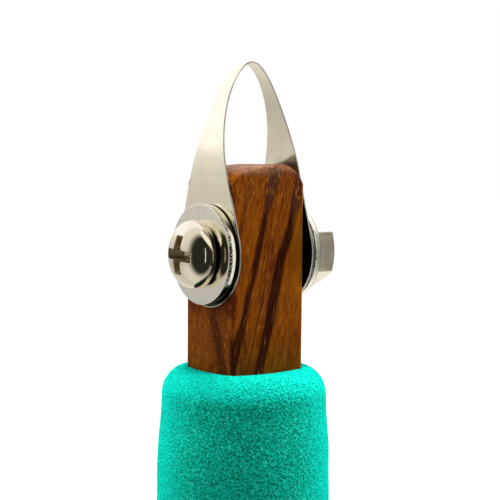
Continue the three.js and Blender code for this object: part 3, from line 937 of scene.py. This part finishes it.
def grip_foam():
    """Fine open cells, with a painted sheen where the foam turns away, painted light on its top end, and
    painted shade where the metal mirrors it
    """
    material, shader, place = new_finish("turquoise_foam")
    tree = place.tree
    cells = give(tree, "ShaderNodeTexVoronoi", "Distance", {"Vector": place, "Scale": 2.7, "Randomness": 1.0})
    fine = mottle(place, 3.0, 2.0, 0.6)
    height = fine * 0.9 + ease(cells, 0.1, 0.55) * 0.4 + mottle(place, 1.3) * 0.4
    raised = ease(height, 0.7, 1.15)
    painted_sheen = blend(raised, (0.0045, 0.76, 0.57, 1), (0.0075, 0.95, 0.75, 1))
    turned_away = give(tree, "ShaderNodeLayerWeight", "Facing", {"Blend": 0.5})
    colour = coat(
        blend(raised, (0.0045, 0.34, 0.215, 1), (0.0070, 0.75, 0.52, 1)),
        (ease(fine, 0.57, 0.66, 0.0, 0.8), (0.060, 1.0, 0.76, 1)),
        # painted sheen: paler where the foam turns away from the view
        (ease(turned_away, 0.05, 0.75, 0.0, 0.92), painted_sheen),
        # painted light: the foam's top end is paler where the lamp above falls on it
        (ease(parts_of(place)[2], -20.8, -18.9, 0.0, 0.85), painted_sheen),
        # painted shade: the foam is dark green where the metal mirrors it
        (in_mirrors(tree) * 0.97, (0.008, 0.035, 0.022, 1)),
    )
    feed(shader, {"Base Color": colour, "Roughness": ease(fine, 0.3, 0.7, 0.85, 0.97),
                  "Specular IOR Level": 0.0, "Normal": relief(height, 1.0, 0.42)})
    return material


RUBBED_PATCH = 2.5


def handling_marks():
    """Fine scratches and rubbed patches on metal: a height, and a mask of where it is rubbed"""
    tree = bpy.data.node_groups.new("handling_marks", "ShaderNodeTree")
    for name, kind in (("Place", "Vector"), ("Fineness", "Float"), ("Stretch", "Float")):
        tree.interface.new_socket(name, in_out="INPUT", socket_type="NodeSocket" + kind)
    for name in ("Height", "Rubbed"):
        tree.interface.new_socket(name, in_out="OUTPUT", socket_type="NodeSocketFloat")
    given = give_all(tree, "NodeGroupInput")
    place, fineness = given["Place"], given["Fineness"]
    stretch = give(tree, "ShaderNodeCombineXYZ", 0, {
        "X": fineness, "Y": fineness, "Z": fineness / given["Stretch"]})
    drawn = measure("MULTIPLY", place, stretch)
    lines = mottle(drawn, 6.0, 3.0, 0.6)
    crossing = mottle(lay(drawn, rotation=(0.7, 0.2, 0.4)), 3.0)
    patches = mottle(place, 1 / RUBBED_PATCH, 3.0)
    put(tree, "NodeGroupOutput", {"Height": lines * 0.7 + crossing * 0.3, "Rubbed": ease(patches, 0.35, 0.7)})
    return tree


MARKS = handling_marks()
# Tones where pale and where worn, roughness at both, and the scratches' fineness and stretch
PLATING = ((0.77, 0.685, 0.52, 1), (0.72, 0.64, 0.485, 1), (0.06, 0.13), 1.1, 2.0)
WASHER_PLATING = ((0.82, 0.772, 0.64, 1), (0.77, 0.725, 0.60, 1), (0.06, 0.12), 1.2, 3.0)
SPRING_POLISH = ((0.86, 0.783, 0.60, 1), (0.81, 0.735, 0.56, 1), (0.10, 0.2), 1.6, 14.0)
SHADED_FOAM_REFLECTION = (0.022, 0.034, 0.022, 1)


def bright_metal(name, pale, worn, roughness, fineness, stretch, depth=0.004):
    """Plated or polished metal with fine handling marks"""
    material, shader, place = new_finish(name)
    found = give_all(place.tree, "ShaderNodeGroup", {
        "Place": place, "Fineness": fineness, "Stretch": stretch}, node_tree=MARKS)
    rubbed = found["Rubbed"]
    looks = {"Base Color": blend(rubbed, pale, worn), "Roughness": ease(rubbed, 0.0, 1.0, *roughness),
             "Normal": relief(found["Height"], 0.5, depth)}
    feed(shader, {**looks, "Metallic": 1.0})
    return material, shader, place, looks


def stamped_washer(name, low, high, torn_tone, specks_and_painted_shade):
    """Washer plate: bright but for the torn band of its rim, with painted shade in the crevice at its rolled
    edge; on the head side also dark specks, painted shade round the screw head's foot and a painted
    reflection of shaded foam on the lower rim
    """
    material, shader, place, looks = bright_metal(name, *WASHER_PLATING)
    along, _, up = parts_of(place)
    radius = from_screw(place)
    edge, head_edge = WASHER_RADIUS / MM, HEAD_RADIUS / MM
    torn_end = (low + (high - low) * WASHER_TORN_SHARE) / MM
    low, high = low / MM, high / MM
    rim = ease(radius, edge - 0.12, edge - 0.07) * ease(along, low + 0.05, low + 0.12)
    ragged = mottle(place, 2.6, 3.0, 0.6)
    torn = rim * ease(along - (torn_end + (ragged - 0.5) * 0.55), -0.05, 0.08, 1.0, 0.0)
    specks = mottle(lay(place, scale=(0.6, 1, 1)), 4.5, 3.0, 0.65)
    colour = coat(looks["Base Color"], (torn, torn_tone),
                  (torn * ease(specks, 0.5, 0.6), (0.06, 0.054, 0.045, 1)))
    if specks_and_painted_shade:
        under_head_shade = ease(radius, head_edge - 0.1, head_edge + 0.12, 1.0, 0.0)
        colour = coat(
            colour,
            (torn * (ease(abs(up + 0.3), 3.7, 2.8) * ease(specks, 0.4, 0.47)), (0.035, 0.03, 0.026, 1)),
            # painted reflection: the lower rim is dark green, mirroring shaded foam
            (ease(up, -3.9, -4.6) * rim, SHADED_FOAM_REFLECTION),
            # painted shade on the face round the screw head's foot
            (under_head_shade * within(up, -4.6, -3.4, 2.6, 4.0), (0.03, 0.026, 0.022, 1)),
        )
    # painted shade in the crevice where the washer's rolled edge meets the next part
    rolled_edge_crevice_shade = ease(radius, edge - 0.9, edge - 0.6) * ease(along, high - 0.32, high - 0.2)
    feed(shader, {
        "Base Color": blend(rolled_edge_crevice_shade, colour, (0.02, 0.018, 0.015, 1)),
        "Roughness": most(looks["Roughness"], torn * 0.3),
        "Normal": relief(specks * torn, 0.8, 0.03, Normal=looks["Normal"]),
    })
    return material


def spring_steel():
    """The loop's polished strip: darker on its inner faces below the stick's top, with a painted reflection
    of the stick's top above that and painted shade on the tab's rim
    """
    material, shader, place, looks = bright_metal("spring_steel", *SPRING_POLISH)
    along, deep, high = parts_of(place)
    tab, tab_edge = TAB_MIDDLE / MM, TAB_RADIUS / MM
    inside = ease(abs(along), tab - 0.02, tab + 0.02, 1.0, 0.0)
    ragged = mottle(place, 1.6, 3.0) - 0.5
    # the inner faces darker below the stick's top, dark red-brown higher up
    dark_inner_face = inside * ease(high + ragged * 0.3, 12.65, 12.85, 1.0, 0.0)
    inner_face_tone = blend(ease(high + ragged * 1.2, 8.5, 11.5),
                       (0.013, 0.002, 0.001, 1), (0.048, 0.003, 0.0005, 1))
    # painted reflection of the stick's top on the inner faces just above it
    painted_top_reflection = inside * ease(high - ease(deep, 1.8, -4.2, 12.8, 14.5), 0.12, -0.45)
    # painted shade on the tab's outer face just beyond the washer, dark green at the bottom
    tab_rim_shade = ease(along, -tab, -tab - 0.05) * ease(from_screw(place), tab_edge - 0.03, tab_edge - 0.14)
    feed(shader, {"Base Color": coat(
        looks["Base Color"],
        (painted_top_reflection, (0.33, 0.25, 0.155, 1)),
        (dark_inner_face, inner_face_tone),
        (tab_rim_shade * ease(high, -3.6, -4.4), SHADED_FOAM_REFLECTION),
    )})
    return material


def shaded_head_nickel():
    """The screw's plating, with painted shade where the head's side meets the washer"""
    material, shader, place, looks = bright_metal("screw_nickel", *PLATING)
    along, _, high = parts_of(place)
    seat = HEAD_WASHER_LOW.x / MM
    along = along + (mottle(place, 2.0) - 0.5) * 0.2
    # painted shade at the head's foot, against the washer
    seat_shade = within(along, seat - 0.36, seat - 0.2, seat + 0.1, seat + 0.3)
    seat_shade = seat_shade * within(high, -4.7, -3.5, 2.8, 4.2)
    feed(shader, {"Base Color": blend(seat_shade, looks["Base Color"], (0.03, 0.026, 0.02, 1))})
    return material


WOOD = oiled_wood()
FOAM = grip_foam()
SPRING_STEEL = spring_steel()
SHEARED_EDGE = bright_metal(
    "sheared_edge", (0.60, 0.55, 0.46, 1), (0.46, 0.42, 0.35, 1), (0.25, 0.4), 2.0, 4.0)[0]
NICKEL = bright_metal("bright_nickel", *PLATING)[0]
HEAD_NICKEL = shaded_head_nickel()
# painted shade in the cross recess, on rougher plating
RECESS_SHADE_PLATE = bright_metal(
    "recess_shade_plate", (0.62, 0.51, 0.34, 1), (0.45, 0.37, 0.24, 1), (0.3, 0.5), 2.0, 2.0, depth=0.02)[0]
HEAD_WASHER_PLATE = stamped_washer(
    "head_washer_plate", HEAD_WASHER_LOW.x, HEAD_WASHER_HIGH.x, (0.78, 0.74, 0.63, 1), True)
# the nut side's torn band is near black: painted shade of the deep gap beside it, over the band's rough tone
NUT_WASHER_PLATE = stamped_washer(
    "nut_washer_plate", NUT_WASHER_LOW.x, NUT_WASHER_HIGH.x, (0.10, 0.093, 0.078, 1), False)
LOCK_STEEL = bright_metal(
    "lock_steel", (0.09, 0.085, 0.075, 1), (0.05, 0.047, 0.04, 1), (0.3, 0.5), 2.0, 1.5, depth=0.01)[0]

# The pieces on their bodies

stick = make_stick(WOOD)
sleeve = make_sleeve(FOAM)
blade = make_blade(SPRING_STEEL, SHEARED_EDGE)
screw_body = make_screw_head(HEAD_NICKEL, RECESS_SHADE_PLATE)
screw_thread = make_screw_thread(NICKEL)
nut = make_nut(NICKEL)
head_washer = make_washer("head_side_washer", HEAD_WASHER_LOW.x, HEAD_WASHER_HIGH.x, HEAD_WASHER_PLATE)
nut_washer = make_washer("nut_side_washer", NUT_WASHER_LOW.x, NUT_WASHER_HIGH.x, NUT_WASHER_PLATE)

for piece, body, node, slot in (
    (stick, "handle", "handle_stick", "oiled_wood"),
    (sleeve, "handle", "foam_grip", "grip_foam"),
    (blade, "blade", "blade_loop", "spring_steel"),
    (screw_body, "screw", "machine_screw", "nickel_plate"),
    (screw_thread, "screw", "machine_screw", "nickel_plate"),
    (nut, "nut", "hex_nut", "nickel_plate"),
    (head_washer, "handle", "flat_washer_head_side", "nickel_plate"),
    (nut_washer, "handle", "flat_washer_nut_side", "nickel_plate"),
):
    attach(piece, body)
    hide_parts(node)

for spot in frame["nodes"]["lock_washer"].material_slots:
    spot.material = LOCK_STEEL

# Camera, solved with the sizes from points measured in the photograph

CAMERA_FROM_BOLT = Vector((-108.396, -143.916, 12.683)) * MM
CAMERA_TURN = math.radians(-37.215)
CAMERA_PITCH = math.radians(3.92)
CAMERA_ROLL = math.radians(0.5)
CAMERA_LENS = 89.52
CAMERA_SENSOR = 36

ahead = Vector((-math.sin(CAMERA_TURN) * math.cos(CAMERA_PITCH),
                math.cos(CAMERA_TURN) * math.cos(CAMERA_PITCH), -math.sin(CAMERA_PITCH)))
level_right = Vector((math.cos(CAMERA_TURN), math.sin(CAMERA_TURN), 0))
level_up = level_right.cross(ahead)
right = level_right * math.cos(CAMERA_ROLL) + level_up * math.sin(CAMERA_ROLL)
up = level_up * math.cos(CAMERA_ROLL) - level_right * math.sin(CAMERA_ROLL)
camera_data = bpy.data.cameras.new("camera")
camera_data.lens = CAMERA_LENS
camera_data.sensor_width = CAMERA_SENSOR
camera_data.clip_start = 0.01
camera = stand("camera", camera_data)
camera_turn = Matrix((right, up, -ahead)).transposed().to_4x4()
camera.matrix_world = Matrix.Translation(BOLT + CAMERA_FROM_BOLT) @ camera_turn
bpy.context.scene.camera = camera

# Light: a soft box at each side and one above, in a white room that itself lights the tool only dimly

WHITE = (1, 1, 1, 1)
to_camera = Vector((CAMERA_FROM_BOLT.x, CAMERA_FROM_BOLT.y, 0)).normalized()


def soft_box(name, bearing, distance, height, width, tall, power):
    """A lamp at a bearing from the camera's side, positive to the right, that faces the tool"""
    data = bpy.data.lights.new(name, "AREA")
    data.shape, data.size, data.size_y, data.energy = "RECTANGLE", width, tall, power
    lamp = stand(name, data)
    angle = math.radians(bearing)
    spot = BOLT + (to_camera * math.cos(angle) + level_right * math.sin(angle)) * distance
    spot.z = BOLT.z + height
    lamp.location = spot
    lamp.rotation_euler = (BOLT - spot).to_track_quat("-Z", "Y").to_euler()
    lamp.visible_glossy = False


soft_box("left_box", -108, 0.6, 0.08, 0.8, 0.6, 4.4)
soft_box("right_box", 107, 0.6, 0.08, 0.8, 0.6, 4.6)
soft_box("top_box", 0, 0.04, 0.6, 0.35, 0.35, 5.5)


def seen(tree):
    """1 for what the camera sees, straight or in a mirror or glass, and 0 for what lights the tool"""
    rays = give_all(tree, "ShaderNodeLightPath")
    return most(rays["Is Camera Ray"], most(rays["Is Glossy Ray"], rays["Is Transmission Ray"]))


world = bpy.data.worlds.new("white_room")
bpy.context.scene.world = world
world.use_nodes = True
room = world.node_tree
room.nodes.clear()
room_light = ease(seen(room), 0.0, 1.0, 0.08, 1.0)
put(room, "ShaderNodeOutputWorld", {
    "Surface": give(room, "ShaderNodeBackground", 0, {"Color": WHITE, "Strength": room_light})})

# Stage

def plain_stage(name, points, faces, material):
    thing = stand(name, bare_mesh(name, points, faces, material))
    return thing


FLOOR = 4.0
# The floor glows white from this far off; nearer the tool's foot its cloth keeps the tool's shadow
SHADOW_REACH = (0.12, 0.22)


def pale_floor():
    material, tree = empty_material("pale_floor")
    shown = seen(tree)
    reach = measure("LENGTH", lay(give(tree, "ShaderNodeTexCoord", "Object"), scale=(1, 1, 0)))
    tone = blend(shown, (0.3, 0.3, 0.3, 1), (0.75, 0.75, 0.75, 1))
    cloth = give(tree, "ShaderNodeBsdfDiffuse", 0, {"Color": tone})
    strength = shown * ease(reach, *SHADOW_REACH)
    glow = give(tree, "ShaderNodeEmission", 0, {"Color": WHITE, "Strength": strength})
    both = give(tree, "ShaderNodeAddShader", 0, {0: cloth, 1: glow})
    put(tree, "ShaderNodeOutputMaterial", {"Surface": both})
    return material


plain_stage("floor", [(-FLOOR, -FLOOR, 0), (FLOOR, -FLOOR, 0), (FLOOR, FLOOR, 0), (-FLOOR, FLOOR, 0)],
            [(0, 1, 2, 3)], pale_floor())

# What the bright metal mirrors: brightness by bearing from the camera's side, in degrees
MIRRORED = ((-180, 0.9), (-135, 0.72), (-112, 0.66), (-104, 0.66), (-92, 0.68), (-60, 0.72), (0, 0.6),
            (50, 0.42), (68, 0.15), (74, 0.17), (79, 0.29), (88, 0.3), (98, 0.75), (112, 1.0), (180, 1.0))
DARK_FRONT_TURN = math.radians(-5)
DARK_FRONT_EDGE = (math.radians(70), math.radians(48))
GLINT_TURN = math.radians(4)
RIM_GLEAM_TURN = math.radians(72.3)
TENT_RADIUS = 0.142


def tent_cloth():
    """The room as the metal mirrors it: white, with a dark front where the camera stands"""
    material, tree = empty_material("tent_cloth")
    place = lay(give(tree, "ShaderNodeTexCoord", "Object"), location=tuple(-part for part in BOLT))
    way = measure("NORMALIZE", place)
    front = measure("DOT_PRODUCT", way, to_camera)
    bearing = reckon("ARCTAN2", measure("DOT_PRODUCT", way, level_right), front)
    height = parts_of(way)[2]
    stops = [(degrees / 360 + 0.5, grey) for degrees, grey in MIRRORED]
    around = grey_stops(bearing / (2 * math.pi) + 0.5, stops)
    behind = ease(front, 0.1, -0.25)
    lift = ease(height, -0.06, 0.24, 1.0, 1.36) - ease(height, -0.05, -0.22, 0.0, 0.14) * behind
    lift = lift + ease(height, -0.24, -0.45, 0.0, 0.25)
    high_behind = ease(height, 0.22, 0.32) * behind
    far_right = high_behind * ease(bearing, math.radians(115), math.radians(135))

    middle = to_camera * math.cos(DARK_FRONT_TURN) + level_right * math.sin(DARK_FRONT_TURN)
    near = measure("DOT_PRODUCT", way, middle)
    low_right = within(bearing, *(math.radians(degrees) for degrees in (35, 48, 70, 76)))
    dark = most(ease(near, *(math.cos(edge) for edge in DARK_FRONT_EDGE)),
                low_right * ease(abs(height + 0.15), 0.45, 0.33))

    glint = ease(abs(bearing - GLINT_TURN), 0.02, 0.05, 1.0, 0.0) * ease(abs(height), 0.3, 0.38, 1.0, 0.0)
    rim_course = height * height * 0.62 + RIM_GLEAM_TURN
    rim_gleam = ease(abs(bearing - rim_course), 0.115, 0.08) * ease(abs(height), 0.85, 0.6)
    above = reckon("ARCSINE", height) - (0.997 - bearing * 0.59)
    crescent = within(above, -0.17, -0.06, 0.35, 0.6) * within(bearing, -0.7, -0.3, 0.95, 1.2)
    tone = coat(
        give(tree, "ShaderNodeVectorMath", 0, {0: around, "Scale": lift}, operation="SCALE"),
        (high_behind, (1.25, 1.28, 1.42, 1)),
        (far_right, (1.38, 1.5, 1.85, 1)),
        (dark, (0.028, 0.026, 0.022, 1)),
        (glint, (1.3, 1.3, 1.3, 1)),
        (rim_gleam, (1.05, 1.05, 1.0, 1)),
        (crescent, (1.2, 1.2, 1.15, 1)),
    )
    glow = give(tree, "ShaderNodeEmission", 0, {"Color": tone, "Strength": 1.0})
    put(tree, "ShaderNodeOutputMaterial", {"Surface": glow})
    return material


tent_rings = np.array([
    [(BOLT.x + TENT_RADIUS * math.sin(tilt) * math.cos(angle),
      BOLT.y + TENT_RADIUS * math.sin(tilt) * math.sin(angle), BOLT.z + TENT_RADIUS * math.cos(tilt))
     for angle in turns_of(64)]
    for tilt in np.linspace(0.02, math.pi - 0.02, 32)
])
tent = plain_stage("tent", *close_rings(tent_rings), tent_cloth())
tent.visible_camera = False
tent.visible_diffuse = False
tent.visible_transmission = False
tent.visible_shadow = False

bpy.context.scene.view_settings.view_transform = "Standard"
